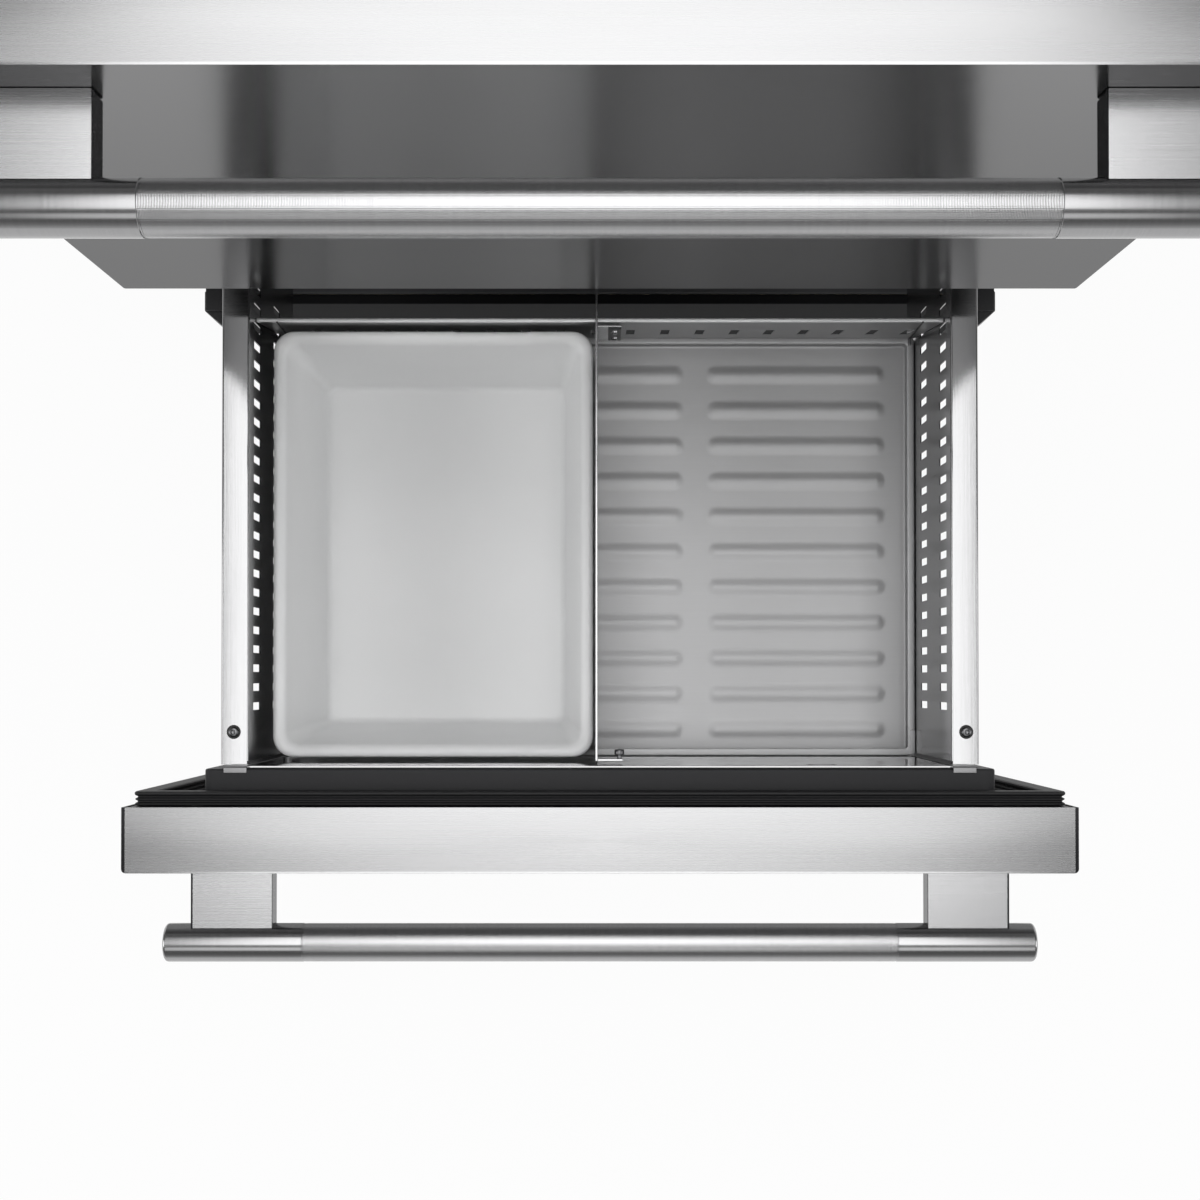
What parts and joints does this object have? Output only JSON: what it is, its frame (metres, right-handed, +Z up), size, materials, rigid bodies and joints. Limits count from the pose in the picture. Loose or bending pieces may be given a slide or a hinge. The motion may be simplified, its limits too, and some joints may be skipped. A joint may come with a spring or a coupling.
{
  "type": "undercounter drawer refrigerator",
  "caption": "Undercounter refrigerator with stacked stainless drawers, tubular pulls, full-extension slides and a lower freezer drawer holding a divider and a lift-out ice bin.",
  "frame": {"origin": "middle of the assembly's footprint on the floor, with the lower drawer open as in the picture", "axes": "+X across the front to the right, +Y from the drawer fronts to the back, +Z up"},
  "size_m": [0.6064, 1.0162, 0.876],
  "materials": {
    "stainless": "satin",
    "polished_steel": "polished",
    "satin_steel": "satin",
    "slide_steel": "satin",
    "case_paint": "satin",
    "charcoal_plastic": "satin",
    "gasket_rubber": "matte",
    "liner_plastic": "satin",
    "foam": "matte",
    "zinc_sheet": "satin",
    "black_plastic": "matte",
    "bin_plastic": "satin",
    "cast_alloy": "matte",
    "coil_black": "matte",
    "light_lens": "matte",
    "valve_brass": "satin",
    "button_metal": "satin"
  },
  "bodies": {
    "cabinet": {"cabinet_wrapper": "case_paint", "face_frame": "case_paint", "upper_liner": "liner_plastic", "lower_liner": "liner_plastic", "insulation": "foam", "back_sheet": "zinc_sheet", "rear_service_cover": "zinc_sheet", "toe_grille": "stainless", "base_pan": "zinc_sheet", "evaporator_cover": "liner_plastic", "evaporator": "cast_alloy", "ice_maker": "cast_alloy", "control_panel": "black_plastic", "light_lens": "light_lens", "compressor": "case_paint", "condenser_coil": "coil_black", "condenser_fan_shroud": "zinc_sheet", "drip_tray": "bin_plastic", "water_valve": "valve_brass", "power_inlet": "black_plastic", "lower_fixed_slide_left": "slide_steel", "lower_fixed_slide_right": "slide_steel", "upper_fixed_slide_left": "slide_steel", "upper_fixed_slide_right": "slide_steel"},
    "evaporator_fan": {"evaporator_fan": "black_plastic"},
    "condenser_fan": {"condenser_fan": "black_plastic"},
    "ice_ejector": {"ice_ejector": "black_plastic"},
    "power_button": {"power_button": "button_metal"},
    "temperature_button": {"temperature_button": "button_metal"},
    "leg_front_left": {"leg_front_left": "black_plastic"},
    "leg_back_left": {"leg_back_left": "black_plastic"},
    "leg_front_right": {"leg_front_right": "black_plastic"},
    "leg_back_right": {"leg_back_right": "black_plastic"},
    "lower_mid_slides": {"lower_mid_slide_left": "slide_steel", "lower_mid_slide_right": "slide_steel"},
    "upper_mid_slides": {"upper_mid_slide_left": "slide_steel", "upper_mid_slide_right": "slide_steel"},
    "lower_drawer": {"lower_front_panel": "stainless", "lower_inner_panel": "charcoal_plastic", "lower_gasket": "gasket_rubber", "lower_handle_bar": "stainless", "lower_handle_post_left": "stainless", "lower_handle_post_right": "stainless", "lower_side_left": "stainless", "lower_side_right": "stainless", "lower_pan": "satin_steel", "lower_back_wall": "satin_steel", "lower_inner_plate": "polished_steel"},
    "upper_drawer": {"upper_front_panel": "stainless", "upper_inner_panel": "charcoal_plastic", "upper_gasket": "gasket_rubber", "upper_handle_bar": "stainless", "upper_handle_post_left": "stainless", "upper_handle_post_right": "stainless", "upper_side_left": "stainless", "upper_side_right": "stainless", "upper_pan": "satin_steel", "upper_back_wall": "satin_steel"},
    "divider": {"divider": "stainless"},
    "ice_bin": {"ice_bin": "bin_plastic"}
  },
  "joints": [
    {"name": "lower_drawer_slide", "type": "slide", "parent": "cabinet", "child": "lower_drawer", "axis": [0, -1, 0], "range_m": [-0.3703, 0]},
    {"name": "upper_drawer_slide", "type": "slide", "parent": "cabinet", "child": "upper_drawer", "axis": [0, -1, 0], "range_m": [0, 0.3703]},
    {"name": "lower_mid_slide", "type": "slide", "parent": "cabinet", "child": "lower_mid_slides", "axis": [0, -1, 0], "range_m": [-0.18515, 0]},
    {"name": "upper_mid_slide", "type": "slide", "parent": "cabinet", "child": "upper_mid_slides", "axis": [0, -1, 0], "range_m": [0, 0.18515]},
    {"name": "divider_shift", "type": "slide", "parent": "lower_drawer", "child": "divider", "axis": [1, 0, 0], "range_m": [0, 0.147]},
    {"name": "ice_bin_lift", "type": "slide", "parent": "lower_drawer", "child": "ice_bin", "axis": [0, 0, 1], "range_m": [0, 0.22]},
    {"name": "evaporator_fan_spin", "type": "hinge", "parent": "cabinet", "child": "evaporator_fan", "pos_m": [0.13, 0.3996, 0.478], "axis": [0, 1, 0], "continuous": true},
    {"name": "condenser_fan_spin", "type": "hinge", "parent": "cabinet", "child": "condenser_fan", "pos_m": [0.15, 0.2346, 0.112], "axis": [0, 1, 0], "continuous": true},
    {"name": "ice_ejector_turn", "type": "hinge", "parent": "cabinet", "child": "ice_ejector", "pos_m": [-0.125, 0.1151, 0.487], "axis": [1, 0, 0], "continuous": true},
    {"name": "power_button_press", "type": "slide", "parent": "cabinet", "child": "power_button", "axis": [0, 0, 1], "range_m": [0, 0.0012], "stiffness_N_per_m": 400},
    {"name": "temperature_button_press", "type": "slide", "parent": "cabinet", "child": "temperature_button", "axis": [0, 0, 1], "range_m": [0, 0.0012], "stiffness_N_per_m": 400},
    {"name": "leg_front_left_turn", "type": "hinge", "parent": "cabinet", "child": "leg_front_left", "pos_m": [-0.27, 0.0651, 0], "axis": [0, 0, 1], "continuous": true},
    {"name": "leg_back_left_turn", "type": "hinge", "parent": "cabinet", "child": "leg_back_left", "pos_m": [-0.27, 0.4751, 0], "axis": [0, 0, 1], "continuous": true},
    {"name": "leg_front_right_turn", "type": "hinge", "parent": "cabinet", "child": "leg_front_right", "pos_m": [0.27, 0.0651, 0], "axis": [0, 0, 1], "continuous": true},
    {"name": "leg_back_right_turn", "type": "hinge", "parent": "cabinet", "child": "leg_back_right", "pos_m": [0.27, 0.4751, 0], "axis": [0, 0, 1], "continuous": true}
  ],
  "couplings": [
    {"joint": "lower_mid_slide", "follows": "lower_drawer_slide", "ratio": 0.5},
    {"joint": "upper_mid_slide", "follows": "upper_drawer_slide", "ratio": 0.5}
  ]
}
